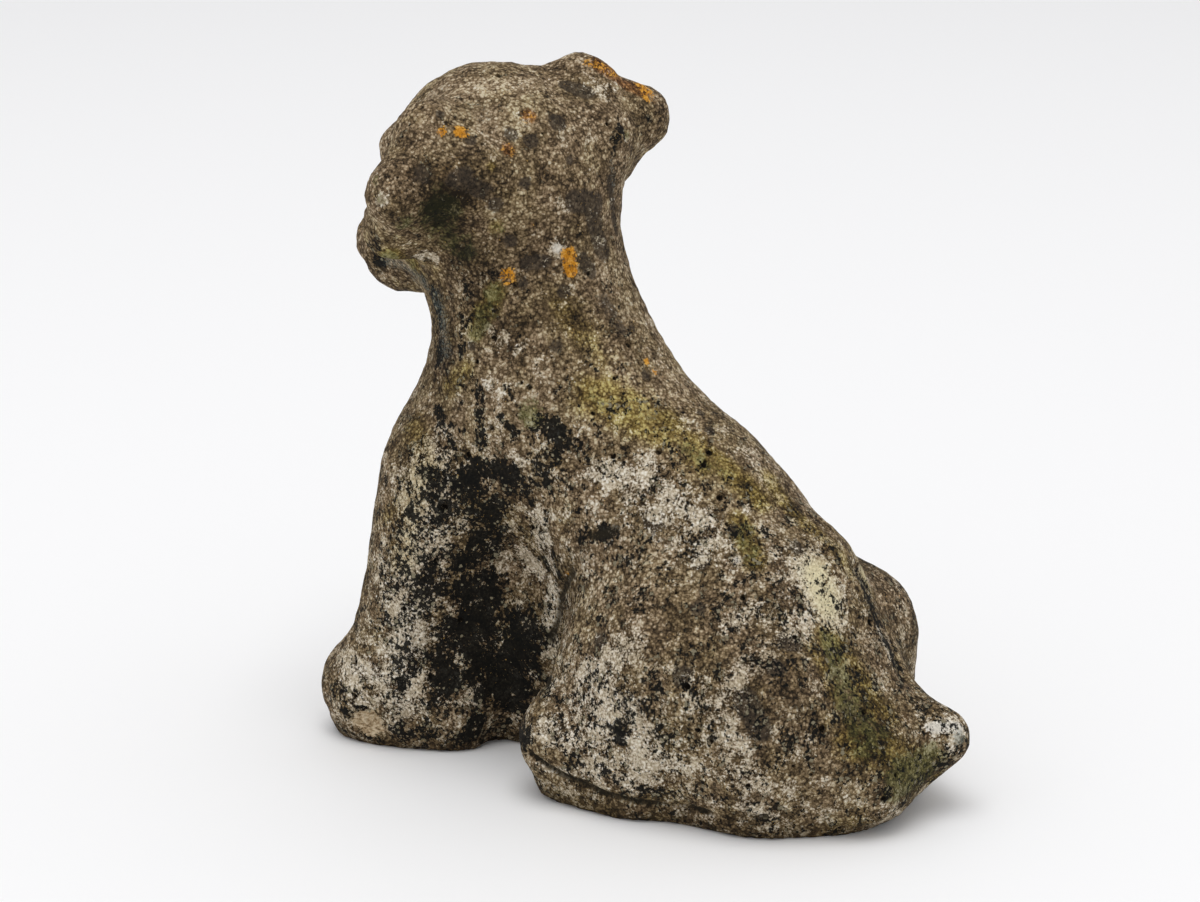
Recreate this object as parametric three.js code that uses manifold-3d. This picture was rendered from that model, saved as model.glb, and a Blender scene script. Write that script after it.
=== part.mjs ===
// A seated puppy cast in stone, a garden ornament about 29 cm tall that stands on its own flat underside.
// Millimetres, +Z up. The puppy faces -Y and its left side is +X. The origin is on the ground, under the middle.
// It is one cast piece, so the whole figure is one solid.
import * as THREE from "three";
import { mergeVertices } from "three/addons/utils/BufferGeometryUtils.js";
import Module from "manifold-3d";

const wasm = await Module();
wasm.setup();

// Driving dimensions
const HEIGHT = 292; // ground to the crown of the head, in mm
const UNIT = HEIGHT / 100; // pose, proportions and carving below are in hundredths of the height
const HEAD_PLACE = [0, -16.9, 83.9]; // middle of the skull
const HEAD_TURN = [0, 9, -25]; // degrees: tipped to its left, then turned to its right
const WALL_HEIGHT = 4; // below this the sides go straight down
const WALL_END = [41, 49]; // towards the tail the straight sides get lower, and end at the second place
const EDGE_HEIGHT = 3; // below this the sides draw in to the worn bottom edge
const EDGE_DRAW = 0.4; // how far they draw in, as a share of the height they do it over
const CUT_DEPTH = 4; // how far the form goes on under the ground before the flat cut
const MOUTH_DEPTH = 0.8;
const FURROW_WIDTH = 0.9;
// Furrows between the toes, from a share of the paw's length forward of its middle, fading in over another share.
// They end above and beside it at shares of its height and width.
const TOES = { depth: 0.75, start: 0.3, fadeIn: 0.4, top: 1.2, fadeUp: 0.3, side: 1.1 };
// How widely forms run into each other
const BLEND = { torso: 8, leg: 5, body: 5, neck: 8, tail: 4, skull: 4, face: 3.2, ear: 3.5, lip: 2, socket: 1.6 };
const FINE_BLEND = { nose: 1, set: 0.8 };

// Measuring and thinning of the surface
const ROOM = { low: [-34, -48, -6], high: [34, 64, 106] }; // the box that is measured, in hundredths of the height
const STEP = 3.6; // spacing of the grid that the surface is measured on, in mm
const TRIANGLES = 9300; // how many triangles are kept
const HOLD = 0.026; // how firmly thinning holds the corners in place, beside holding the planes, in mm2
const LEAST_COSINE = 0.3; // thinning turns no triangle further than this
const GROUND_CLEAR = 0.3; // no corner lies nearer to the ground plane than this, so the flat cut leaves no slivers

// Joints of the pose, each the middle and the radius of a round end. The left side stands for both.
const JOINT = {
  throat: [0, -13.4, 77.5, 13.2],
  neckRoot: [0, -9.2, 57, 15.5],
  withers: [0, -6, 51, 15.9],
  midBack: [0, 13, 33, 15.7],
  loin: [0, 21, 23, 15.9],
  tailRoot: [0, 34, 13.5, 11.5],
  rumpTop: [0, 31.5, 28.6, 8.6],
  rumpLow: [0, 39.2, 12.6, 8.6],
  rumpSideTop: [6, 27, 25.5, 11],
  rumpSideLow: [8, 34.5, 13.5, 10.5],
  tailSide: [9, 43.6, 7.4, 8.4],
  chest: [0, -16, 43, 15],
  brisket: [0, -20, 29, 12.5],
  webFront: [0, -16, 7, 7.5],
  webBack: [0, 14, 7, 8],
  seatMiddle: [0, 29, 9, 11],
  bellyFront: [0, -15, 19, 9.5],
  bellyBack: [0, 10, 19, 10],
  shoulder: [8.5, -20, 40, 10],
  wrist: [10, -27, 12, 8],
  hip: [14, 20, 19.5, 12],
  seatBone: [14.6, 33.2, 18.6, 9.7],
  footFront: [20, 4.5, 8.8, 6.6],
  footBack: [18.5, 14, 6, 6.5],
  thighLow: [16.4, 16, 9, 8.2],
  seatLow: [13.6, 32, 10, 10.4],
  tailBase: [0, 42, 7.6, 9.4],
  tailTip: [0, 52.8, 10.6, 4.4],
};
// Egg and ball forms of the body. The left one of a pair stands for both.
const FRONT_PAW = { middle: [10.5, -31.2, 7], radii: [8, 9.5, 7.7] };
const HEEL = { middle: [10, -22, 7], radii: [6, 9, 9] };
const THIGH = { middle: [15, 16.5, 16.5], radii: [9.5, 15, 17], turn: [-12, 0, 0] };
const RUMP = { middle: [0, 38.5, 6.5], radii: [13, 12, 8.5] };

// The head, about the middle of its skull, looking to -Y: joints, then eggs and balls.
const HEAD = {
  stop: [0, -8, -4, 9],
  bridge: [0, -16.3, -8.7, 6.5],
  browIn: [3.4, -13.2, 4.4, 2.2],
  browOut: [9.5, -11, 4.4, 2],
  earRoot: [13, 5, 9.6, 3.8],
  earCorner: [20.6, 7.2, 3, 3.5],
  earTip: [18.8, 0.8, -3.6, 3.3],
  earFoldTop: [11.4, 2.6, 7.4, 4],
  earFoldLow: [17.6, 2, -1, 3.4],
  earBack: [10.5, 9.4, 3, 4.6],
};
const SKULL = { middle: [0, 0.5, 0.4], radii: [14.9, 16, 14.7] };
const CHEEK = { middle: [7.5, -7.5, -6], radii: [6.8, 7.2, 7.5] };
const LIP = { middle: [5.4, -16.6, -12.2], radii: [8, 8.4, 7.3] };
const JAW = { middle: [0, -14.8, -13.6], radii: [6.5, 6.8, 5] };
const SOCKET = { middle: [6.6, -15.4, 0.6], radii: [3.6, 2.6, 2.8] };
const EYE = { middle: [6.5, -13, 0.4], radii: [2.7, 2.4, 2.2] };
const NOSE_TOP = { middle: [0, -23.6, -8], radii: [3.4, 2.6, 2.3] };
const NOSE_LOW = { middle: [0, -23.7, -9.8], radii: [1.6, 2, 1.6] };
// The mouth as seen from in front, across and up: down under the nose, then out and up round the lip.
const MOUTH = [
  [0, -11],
  [0, -15.2],
  [5.6, -16.2],
  [9.4, -15.6],
  [12.6, -13.8],
];
const MOUTH_CORNER = -13; // the mouth ends this far forward of the middle of the skull
const MOUTH_FADE = 2; // and fades in over this length

// A point in hundredths of the height.
const at = (x, y, z) => new THREE.Vector3(x, y, z).multiplyScalar(UNIT);

const turnOf = (degrees, order) => new THREE.Euler(...degrees.map(THREE.MathUtils.degToRad), order);

// Forms: each is a function of a point that gives about how far the point lies outside the surface, in mm.

// An egg or ball with three radii, turned by angles in degrees about x, y and z.
function ball({ middle, radii, turn = [0, 0, 0] }) {
  const r = at(...radii);
  const least = Math.min(r.x, r.y, r.z);
  const back = new THREE.Matrix4()
    .makeRotationFromEuler(turnOf(turn, "XYZ"))
    .setPosition(at(...middle))
    .invert();
  const q = new THREE.Vector3();
  return (p) => {
    q.copy(p).applyMatrix4(back);
    const share = Math.hypot(q.x / r.x, q.y / r.y, q.z / r.z);
    const slope = Math.hypot(q.x / r.x ** 2, q.y / r.y ** 2, q.z / r.z ** 2);
    return slope > 0 ? (share * (share - 1)) / slope : -least;
  };
}

// A limb that runs straight from one round joint to another, with tangent sides.
function limb(from, to) {
  const a = at(...from.slice(0, 3));
  const along = at(...to.slice(0, 3)).sub(a);
  const ra = from[3] * UNIT;
  const rb = to[3] * UNIT;
  const length2 = along.lengthSq();
  const taper = ra - rb;
  const side2 = length2 - taper * taper;
  const q = new THREE.Vector3();
  return (p) => {
    q.subVectors(p, a);
    const y = q.dot(along);
    const z = y - length2;
    const x2 = q.multiplyScalar(length2).addScaledVector(along, -y).lengthSq();
    const y2 = y * y * length2;
    const z2 = z * z * length2;
    const k = Math.sign(taper) * taper * taper * x2;
    if (Math.sign(z) * side2 * z2 > k) return Math.sqrt(x2 + z2) / length2 - rb;
    if (Math.sign(y) * side2 * y2 < k) return Math.sqrt(x2 + y2) / length2 - ra;
    return (Math.sqrt((x2 * side2) / length2) + y * taper) / length2 - ra;
  };
}

// Forms run into each other over a width, as clay does.
function melt(width, ...forms) {
  const k = width * UNIT;
  return (p) =>
    forms.reduce((d, form) => {
      const e = form(p);
      const h = Math.max(k - Math.abs(d - e), 0) / k;
      return Math.min(d, e) - (h * h * k) / 4;
    }, Infinity);
}

// A form with another one pressed into it.
function press(width, form, tool) {
  const outside = melt(width, (p) => -form(p), tool);
  return (p) => -outside(p);
}

// A form with a furrow drawn into it. The line gives a point's distance from the furrow, and the reach is 1 where
// the furrow runs and 0 where it doesn't.
function draw(form, depth, line, reach) {
  const width = FURROW_WIDTH * UNIT;
  return (p) => form(p) + depth * UNIT * Math.exp(-((line(p) / width) ** 2)) * reach(p);
}

// The same form on both sides of the middle.
function pair(form) {
  const q = new THREE.Vector3();
  return (p) => form(q.set(Math.abs(p.x), p.y, p.z));
}

// A form set down at a place and turned.
function placed(form, place, degrees) {
  const back = new THREE.Matrix4()
    .makeRotationFromEuler(turnOf(degrees, "ZYX"))
    .setPosition(at(...place))
    .invert();
  const q = new THREE.Vector3();
  return (p) => form(q.copy(p).applyMatrix4(back));
}

function torso() {
  const { withers, midBack, loin, tailRoot, chest, brisket, bellyFront, bellyBack } = JOINT;
  const { webFront, webBack, seatMiddle } = JOINT;
  return melt(
    BLEND.torso,
    limb(withers, midBack),
    limb(midBack, loin),
    limb(loin, tailRoot),
    limb(chest, brisket),
    limb(webFront, webBack),
    limb(webBack, seatMiddle),
    limb(bellyFront, bellyBack),
  );
}

// Furrows between the four toes at the front of a paw, half as far apart as the paw is wide.
function toed(paw, middle, radii) {
  const [x, y, z] = at(...middle).toArray();
  const [wide, long, high] = at(...radii).toArray();
  const furrows = [-wide / 2, 0, wide / 2].map((side) => x + side);
  const line = (p) => Math.min(...furrows.map((furrow) => Math.abs(p.x - furrow)));
  const reach = (p) =>
    THREE.MathUtils.smoothstep(y - long * TOES.start - p.y, 0, long * TOES.fadeIn) *
    THREE.MathUtils.smoothstep(z + high * TOES.top - p.z, 0, long * TOES.fadeUp) *
    (Math.abs(p.x - x) < wide * TOES.side);
  return draw(paw, TOES.depth, line, reach);
}

function frontLegs() {
  const leg = melt(BLEND.leg, limb(JOINT.shoulder, JOINT.wrist), ball(FRONT_PAW), ball(HEEL));
  return pair(toed(leg, FRONT_PAW.middle, FRONT_PAW.radii));
}

function hindLegs() {
  const { hip, seatBone, footFront, footBack, thighLow, seatLow } = JOINT;
  const foot = limb(footFront, footBack);
  const leg = melt(BLEND.leg, ball(THIGH), foot, limb(thighLow, seatLow), limb(hip, seatBone));
  return pair(toed(leg, footFront.slice(0, 3), Array(3).fill(footFront[3])));
}

// The rump's ridge runs down to the stub tail. Its left side is filled out to the haunch, and its right side isn't.
function tail() {
  const { rumpTop, rumpLow, rumpSideTop, rumpSideLow, seatLow, tailSide, tailBase, tailTip } = JOINT;
  const ridge = limb(rumpTop, rumpLow);
  const sides = [limb(rumpSideTop, rumpSideLow), limb(rumpSideLow, tailSide), limb(seatLow, tailSide)];
  return melt(BLEND.tail, ball(RUMP), ridge, ...sides, limb(tailBase, tailTip));
}

function head() {
  const bridge = limb(HEAD.stop, HEAD.bridge);
  const brows = pair(limb(HEAD.browIn, HEAD.browOut));
  const ears = pair(
    melt(
      BLEND.ear,
      limb(HEAD.earRoot, HEAD.earCorner),
      limb(HEAD.earCorner, HEAD.earTip),
      limb(HEAD.earFoldTop, HEAD.earFoldLow),
      limb(HEAD.earCorner, HEAD.earBack),
      limb(HEAD.earTip, HEAD.earBack),
      limb(HEAD.earRoot, HEAD.earBack),
    ),
  );
  const nose = melt(FINE_BLEND.nose, ball(NOSE_TOP), ball(NOSE_LOW));
  const skull = melt(BLEND.skull, ball(SKULL), pair(ball(CHEEK)), bridge);
  const muzzle = melt(BLEND.lip, pair(ball(LIP)), ball(JAW));
  const face = melt(BLEND.face, skull, brows, ears, muzzle);
  const corner = MOUTH_CORNER * UNIT;
  const reach = (p) => THREE.MathUtils.smoothstep(corner - p.y, 0, MOUTH_FADE * UNIT);
  const mouthed = draw(press(BLEND.socket, face, pair(ball(SOCKET))), MOUTH_DEPTH, strokes(MOUTH), reach);
  return melt(FINE_BLEND.set, mouthed, pair(ball(EYE)), nose);
}

// How far a point seen from in front is from a line of strokes, the same on both sides of the middle.
function strokes(points) {
  const dots = points.map(([x, z]) => at(x, 0, z));
  const parts = dots.slice(1).map((dot, i) => new THREE.Line3(dots[i], dot));
  const q = new THREE.Vector3();
  const foot = new THREE.Vector3();
  return (p) => {
    q.set(Math.abs(p.x), 0, p.z);
    return Math.min(...parts.map((part) => part.closestPointToPoint(q, true, foot).distanceTo(q)));
  };
}

// The whole puppy, with straight low sides that draw in to a worn edge at the ground.
function puppy() {
  const neck = limb(JOINT.neckRoot, JOINT.throat);
  const body = melt(BLEND.body, torso(), neck, frontLegs(), hindLegs(), tail());
  const figure = melt(BLEND.neck, body, placed(head(), HEAD_PLACE, HEAD_TURN));
  const wallEnd = WALL_END.map((y) => y * UNIT);
  const edge = EDGE_HEIGHT * UNIT;
  const floor = CUT_DEPTH * UNIT;
  const q = new THREE.Vector3();
  return (p) => {
    const wall = WALL_HEIGHT * UNIT * (1 - THREE.MathUtils.smoothstep(p.y, ...wallEnd));
    const side = figure(q.set(p.x, p.y, Math.max(p.z, wall))) + EDGE_DRAW * Math.max(0, edge - p.z);
    return Math.max(side, -floor - p.z);
  };
}

// Surface of a form inside a box: one corner for each cell of the grid that the surface passes, joined across cells.
function skin(form, low, high, step) {
  const [nx, ny, nz] = ["x", "y", "z"].map((axis) => Math.ceil((high[axis] - low[axis]) / step) + 1);
  const index = (i, j, k) => i + nx * (j + ny * k);
  const value = new Float32Array(nx * ny * nz);
  const p = new THREE.Vector3();
  const eachCell = (first, visit) => {
    for (let k = first; k < nz - 1; k++)
      for (let j = first; j < ny - 1; j++) for (let i = first; i < nx - 1; i++) visit(i, j, k);
  };
  for (let k = 0; k < nz; k++)
    for (let j = 0; j < ny; j++)
      for (let i = 0; i < nx; i++) value[index(i, j, k)] = form(p.set(i, j, k).multiplyScalar(step).add(low));
  while (fillCrossings(value, [1, nx, nx * ny]));

  const edges = [];
  for (let from = 0; from < 8; from++)
    for (const bit of [1, 2, 4]) if (!(from & bit)) edges.push([from, from | bit].map(cellCorner));
  const points = [];
  const cellPoint = new Int32Array(value.length).fill(-1);
  eachCell(0, (i, j, k) => {
    const sum = new THREE.Vector3();
    let crossings = 0;
    for (const [a, b] of edges) {
      const va = value[index(i + a.x, j + a.y, k + a.z)];
      const vb = value[index(i + b.x, j + b.y, k + b.z)];
      if (va < 0 === vb < 0) continue;
      sum.add(p.lerpVectors(a, b, va / (va - vb)));
      crossings++;
    }
    if (!crossings) return;
    cellPoint[index(i, j, k)] = points.length;
    points.push(sum.divideScalar(crossings).add(p.set(i, j, k)).multiplyScalar(step).add(low).clone());
  });

  const axes = [
    [1, nx, nx * ny],
    [nx, nx * ny, 1],
    [nx * ny, 1, nx],
  ];
  const faces = [];
  eachCell(1, (i, j, k) => {
    const here = index(i, j, k);
    for (const [along, u, v] of axes) {
      const inside = value[here] < 0;
      if (inside === value[here + along] < 0) continue;
      const [a, b, c, d] = [here, here - u, here - u - v, here - v].map((cell) => cellPoint[cell]);
      faces.push(...(inside ? [[a, b, c], [a, c, d]] : [[a, c, b], [a, d, c]]));
    }
  });
  return { points, faces };
}

// Where a square of the grid has two corners inside, straight across from each other, two sheets of the surface would
// touch along an edge. One more corner goes inside there. Gives back whether there was such a square.
function fillCrossings(value, strides) {
  let found = false;
  for (let a = 0; a < value.length; a++)
    for (const u of strides)
      for (const v of strides) {
        if (u >= v || a + u + v >= value.length) continue;
        const [ina, inu, inv, inuv] = [a, a + u, a + v, a + u + v].map((corner) => value[corner] < 0);
        if (ina === inu || ina === inv || ina !== inuv) continue;
        const outside = ina ? [a + u, a + v] : [a, a + u + v];
        const nearer = value[outside[0]] < value[outside[1]] ? outside[0] : outside[1];
        value[nearer] = -value[nearer] || -Number.EPSILON;
        found = true;
      }
  return found;
}

function cellCorner(number) {
  return new THREE.Vector3(number & 1, (number >> 1) & 1, number >> 2);
}

function triangleNormal(a, b, c, out) {
  return out.crossVectors(b.clone().sub(a), c.clone().sub(a));
}

// The sum of weighted squared distances to planes, as the ten different numbers of a symmetric matrix, in the order
// xx xy xz xw yy yz yw zz zw ww.
function addPlane(sum, n, offset, weight) {
  const row = [n.x, n.y, n.z, offset];
  let k = 0;
  for (let i = 0; i < 4; i++) for (let j = i; j < 4; j++) sum[k++] += weight * row[i] * row[j];
}

function distanceSum([xx, xy, xz, xw, yy, yz, yw, zz, zw, ww], { x, y, z }) {
  const squares = xx * x * x + yy * y * y + zz * z * z;
  return squares + 2 * (xy * x * y + xz * x * z + yz * y * z + xw * x + yw * y + zw * z) + ww;
}

// The point with the least sum.
function leastPoint([xx, xy, xz, xw, yy, yz, yw, zz, zw]) {
  const m = new THREE.Matrix3().set(xx, xy, xz, xy, yy, yz, xz, yz, zz);
  return new THREE.Vector3(-xw, -yw, -zw).applyMatrix3(m.invert());
}

// A queue that gives back the cheapest item first.
class Queue {
  items = [];
  push(item) {
    const { items } = this;
    let i = items.length;
    for (let up; i && items[(up = (i - 1) >> 1)].cost > item.cost; i = up) items[i] = items[up];
    items[i] = item;
  }
  pop() {
    const { items } = this;
    const first = items[0];
    const last = items.pop();
    let i = 0;
    for (let down; (down = 2 * i + 1) < items.length; i = down) {
      if (down + 1 < items.length && items[down + 1].cost < items[down].cost) down++;
      if (items[down].cost >= last.cost) break;
      items[i] = items[down];
    }
    if (items.length) items[i] = last;
    return first;
  }
}

// A skin with edges folded away one by one, those that change its shape least first, until few triangles are left.
function thin({ points, faces }, limit) {
  const corner = points.map((p) => p.clone());
  const facesOf = points.map(() => new Set());
  const sumOf = points.map(() => new Float64Array(10));
  const age = points.map(() => 0);
  const n = new THREE.Vector3();
  faces.forEach((face, f) => {
    const [a, b, c] = face.map((v) => corner[v]);
    const area = triangleNormal(a, b, c, n).length() / 2;
    n.normalize();
    for (const v of face) {
      facesOf[v].add(f);
      addPlane(sumOf[v], n, -n.dot(a), area);
    }
  });
  corner.forEach((p, v) => {
    for (const axis of [at(1, 0, 0), at(0, 1, 0), at(0, 0, 1)]) {
      axis.normalize();
      addPlane(sumOf[v], axis, -axis.dot(p), HOLD);
    }
  });
  const queue = new Queue();
  const offer = (a, b) => {
    const sum = sumOf[a].map((x, i) => x + sumOf[b][i]);
    const to = leastPoint(sum);
    queue.push({ a, b, to, sum, ages: age[a] + age[b], cost: distanceSum(sum, to) });
  };
  const around = (v) => new Set([...facesOf[v]].flatMap((f) => faces[f].filter((x) => x !== v)));
  points.forEach((_, v) => {
    for (const x of around(v)) if (v < x) offer(v, x);
  });
  const before = new THREE.Vector3();
  const after = new THREE.Vector3();
  const staysUp = (v, other, to) =>
    [...facesOf[v]].every((f) => {
      if (faces[f].includes(other)) return true;
      triangleNormal(...faces[f].map((x) => corner[x]), before);
      triangleNormal(...faces[f].map((x) => (x === v ? to : corner[x])), after);
      return before.dot(after) > LEAST_COSINE * before.length() * after.length();
    });
  let left = faces.length;
  while (left > limit && queue.items.length) {
    const { a, b, to, sum, ages } = queue.pop();
    if (!corner[a] || !corner[b] || ages !== age[a] + age[b]) continue;
    const near = around(a);
    const shared = [...around(b)].filter((x) => near.has(x));
    if (shared.length !== 2 || !staysUp(a, b, to) || !staysUp(b, a, to)) continue;
    for (const f of [...facesOf[b]]) {
      if (faces[f].includes(a)) {
        for (const x of faces[f]) facesOf[x].delete(f);
        faces[f] = null;
        left--;
      } else {
        faces[f] = faces[f].map((x) => (x === b ? a : x));
        facesOf[a].add(f);
      }
    }
    corner[a] = to;
    corner[b] = null;
    sumOf[a] = sum;
    age[a] += age[b] + 1;
    for (const x of around(a)) offer(a, x);
  }
  const place = new Map();
  corner.forEach((p, v) => {
    if (!p) return;
    place.set(v, place.size);
    if (Math.abs(p.z) < GROUND_CLEAR) p.z = -GROUND_CLEAR;
  });
  return new THREE.BufferGeometry()
    .setFromPoints(corner.filter(Boolean))
    .setIndex(faces.filter(Boolean).flatMap((face) => face.map((v) => place.get(v))));
}

function solidOf(geometry) {
  const bare = geometry.clone();
  for (const name of ["normal", "uv"]) bare.deleteAttribute(name);
  const merged = mergeVertices(bare);
  return new wasm.Manifold(
    new wasm.Mesh({
      numProp: 3,
      vertProperties: merged.attributes.position.array,
      triVerts: new Uint32Array(merged.index.array),
    }),
  );
}

function geometryOf(solid) {
  const { vertProperties, triVerts } = solid.getMesh();
  const geometry = new THREE.BufferGeometry()
    .setAttribute("position", new THREE.BufferAttribute(vertProperties, 3))
    .setIndex(new THREE.BufferAttribute(triVerts, 1));
  geometry.computeVertexNormals();
  return geometry;
}

// The form is measured in a box with room all round it, then cut off flat at the ground.
const low = at(...ROOM.low);
const high = at(...ROOM.high);
const size = high.clone().sub(low);
const ground = new THREE.BoxGeometry(2 * size.x, 2 * size.y, size.z).translate(0, 0, -size.z / 2);
const solid = solidOf(thin(skin(puppy(), low, high, STEP), TRIANGLES)).subtract(solidOf(ground));

const stone = new THREE.MeshStandardMaterial({ name: "stone", color: 0x6f6753, roughness: 0.95, metalness: 0 });
const figure = new THREE.Mesh(geometryOf(solid), stone);
figure.name = "dog_figure";
const group = new THREE.Group();
group.add(figure);
export default group;
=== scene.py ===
# %% [markdown]
# # A weathered stone puppy
#
# The real object is one casting in sandy concrete: a puppy that sits and looks over its shoulder. Years outdoors have
# worn the cement skin away, so that the sand shows, and have left black film, green algae and lichens on it.
# The fixed frame holds its plain form. This lesson makes the worn surface and its colours on top of that form.

import bmesh
import bpy
import numpy as np
from mathutils import Euler, Matrix, Vector
from mathutils.bvhtree import BVHTree


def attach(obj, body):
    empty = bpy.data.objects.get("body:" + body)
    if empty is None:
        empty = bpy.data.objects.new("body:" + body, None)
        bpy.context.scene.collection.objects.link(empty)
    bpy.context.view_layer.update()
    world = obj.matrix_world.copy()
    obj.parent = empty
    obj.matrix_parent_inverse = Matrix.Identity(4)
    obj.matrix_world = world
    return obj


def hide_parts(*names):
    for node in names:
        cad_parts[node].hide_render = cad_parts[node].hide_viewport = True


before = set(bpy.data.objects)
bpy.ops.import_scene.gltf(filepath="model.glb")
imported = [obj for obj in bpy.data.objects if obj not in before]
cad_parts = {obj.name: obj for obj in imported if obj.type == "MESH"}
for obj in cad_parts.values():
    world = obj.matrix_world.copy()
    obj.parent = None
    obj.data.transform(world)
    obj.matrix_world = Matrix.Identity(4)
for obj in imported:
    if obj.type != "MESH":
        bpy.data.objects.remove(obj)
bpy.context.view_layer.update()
MM = 0.001

# %% [markdown]
# ## The camera
#
# The photograph looks at the puppy from behind its left side, from a little above, with a long lens. The camera comes
# first, because the marks on the stone are placed by where they are in that picture: a ray goes from the camera
# through the mark, and where it meets the stone is the mark's place, seen from any side.

# %% Camera
AIM = Vector((0, 0, 130)) * MM
AZIMUTH, ELEVATION, DISTANCE = 118, 16, 1250 * MM
LENS, SENSOR = 90, 36
PHOTO = (1200, 902)

back = Euler((0, 0, np.radians(AZIMUTH))).to_matrix() @ Vector(
    (0, -np.cos(np.radians(ELEVATION)), np.sin(np.radians(ELEVATION)))
)
camera = bpy.data.objects.new("camera", bpy.data.cameras.new("camera"))
camera.data.lens = LENS
camera.data.sensor_width = SENSOR
camera.location = AIM + back * DISTANCE
camera.rotation_euler = (-back).to_track_quat("-Z", "Y").to_euler()
bpy.context.scene.collection.objects.link(camera)
bpy.context.scene.camera = camera
bpy.context.view_layer.update()
EYE = camera.matrix_world.translation.copy()
print("camera at", [round(x, 3) for x in EYE])


# %% A ray through a point of the picture
def ray(x, y):
    """The direction from the camera through a point of the picture, in its pixels."""
    across = (x - PHOTO[0] / 2) / PHOTO[0] * SENSOR / LENS
    down = (y - PHOTO[1] / 2) / PHOTO[0] * SENSOR / LENS
    return (camera.matrix_world.to_3x3() @ Vector((across, -down, -1))).normalized()


# %% [markdown]
# ## A fine skin over the form
#
# The casting is one closed lump with no edges to bevel, so its surface is made the way a sculptor would: a copy of
# the fixed form is covered with an even skin of small squares by a voxel remesh, and then smoothed, which takes the
# flat faces away. The squares are small enough to carry dents and pits that a finger can feel. The sand grain is
# smaller still, and is left to the material.

# %% Skin
SQUARE = 1.75 * MM
SMOOTHING = 10  # rounds
MERGE = 0.01 * MM  # corners closer than this are one


def fixed_copy(node, name):
    """A copy of a CAD node with its loose triangles merged, at the origin."""
    piece = bpy.data.objects.new(name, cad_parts[node].data.copy())
    bpy.context.scene.collection.objects.link(piece)
    bm = bmesh.new()
    bm.from_mesh(piece.data)
    bmesh.ops.remove_doubles(bm, verts=bm.verts, dist=MERGE)
    bm.to_mesh(piece.data)
    bm.free()
    return piece


def settle(piece):
    """The piece's modifiers are applied, and taken off."""
    bpy.context.view_layer.update()
    done = bpy.data.meshes.new_from_object(piece.evaluated_get(bpy.context.evaluated_depsgraph_get()))
    piece.modifiers.clear()
    piece.data = done


puppy = fixed_copy("dog_figure", "weathered_puppy")
cover = puppy.modifiers.new("cover", "REMESH")
cover.mode = "VOXEL"
cover.voxel_size = SQUARE
smooth = puppy.modifiers.new("smooth", "SMOOTH")
smooth.factor = 0.5
smooth.iterations = SMOOTHING
settle(puppy)
print("skin", len(puppy.data.vertices), "corners", len(puppy.data.polygons), "squares")


# %% [markdown]
# ## Marks and where they are
#
# A mark is a dot or a stroke with a radius. Those that the photograph shows are given by their place in it. The sides
# that it hides get the same kinds of marks: each one is also set down on the other side of the body, moved a little,
# so the two sides are alike but not the same.

# %% Marks on the stone
SHIFT = 9 * MM
rng = np.random.default_rng(7)
PIXEL = 0.417 * MM  # a pixel of the picture at the puppy's distance


def tree_of(piece):
    """A piece's surface, ready to be asked where a ray meets it and what is nearest on it."""
    bm = bmesh.new()
    bm.from_mesh(piece.data)
    tree = BVHTree.FromBMesh(bm)
    bm.free()
    return tree


form = tree_of(puppy)


def on_stone(x, y):
    """Where the ray through a point of the picture meets the stone, or comes nearest if it just misses."""
    direction = ray(x, y)
    hit = form.ray_cast(EYE, direction)[0]
    if hit is None:
        passing = EYE + direction * (AIM - EYE).length
        hit = form.find_nearest(passing)[0]
    return hit


def mirrored(point):
    """The place across the body from a point, moved a little along it, and whether the photograph hides it."""
    other = Vector((-point.x, point.y, point.z)) + Vector(rng.uniform(-SHIFT, SHIFT, 3))
    place, facing = form.find_nearest(other)[:2]
    return place, facing.dot(EYE - place) < 0


def marks_of(rows):
    """Marks as (start, end, radius, strength). A row is x, y of one or two places, then the radius and strength."""
    made = []
    for row in rows:
        ends = [on_stone(*row[i : i + 2]) for i in range(0, len(row) - 2, 2)]
        ends = [ends[0], ends[-1]]
        radius, strength = row[-2] * PIXEL, row[-1]
        made.append((*ends, radius, strength))
        across = [mirrored(end) for end in ends]
        if all(hidden for _, hidden in across):
            made.append((*[place for place, _ in across], radius, strength))
    return made


# %% How far each corner is from a mark
def corners(piece):
    """The places of a piece's corners, one row each."""
    flat = np.empty(len(piece.data.vertices) * 3)
    piece.data.vertices.foreach_get("co", flat)
    return flat.reshape(-1, 3)


def to_stroke(points, start, end):
    """How far each point is from a straight stroke."""
    start, along = np.array(start), np.array(end) - np.array(start)
    reach = np.clip((points - start) @ along / max(along @ along, 1e-12), 0, 1)
    return np.linalg.norm(points - start - reach[:, None] * along, axis=1)


def easy(x):
    """From 0 to 1 without a corner at either end."""
    x = np.clip(x, 0, 1)
    return x * x * (3 - 2 * x)


def lumps(points, size, seed):
    """Smooth random heights from -1 to 1 whose bumps are about that far apart."""
    table = np.random.default_rng(seed).uniform(-1, 1, 4096)
    q = points / size
    cell = np.floor(q).astype(np.int64)
    part = easy(q - cell)
    total = np.zeros(len(points))
    for corner in np.ndindex(2, 2, 2):
        x, y, z = (cell + corner).T
        share = np.prod(np.where(corner, part, 1 - part), axis=1)
        total += share * table[(x * 73856093 ^ y * 19349663 ^ z * 83492791) & 4095]
    return total


# %% [markdown]
# ## Air pits
#
# Air bubbles in the poured mix leave round pits of 1 to 4 mm across, open where the skin has worn off. They need
# smaller squares than the rest, so the skin is divided finer around each pit only, and then pushed in.

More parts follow.
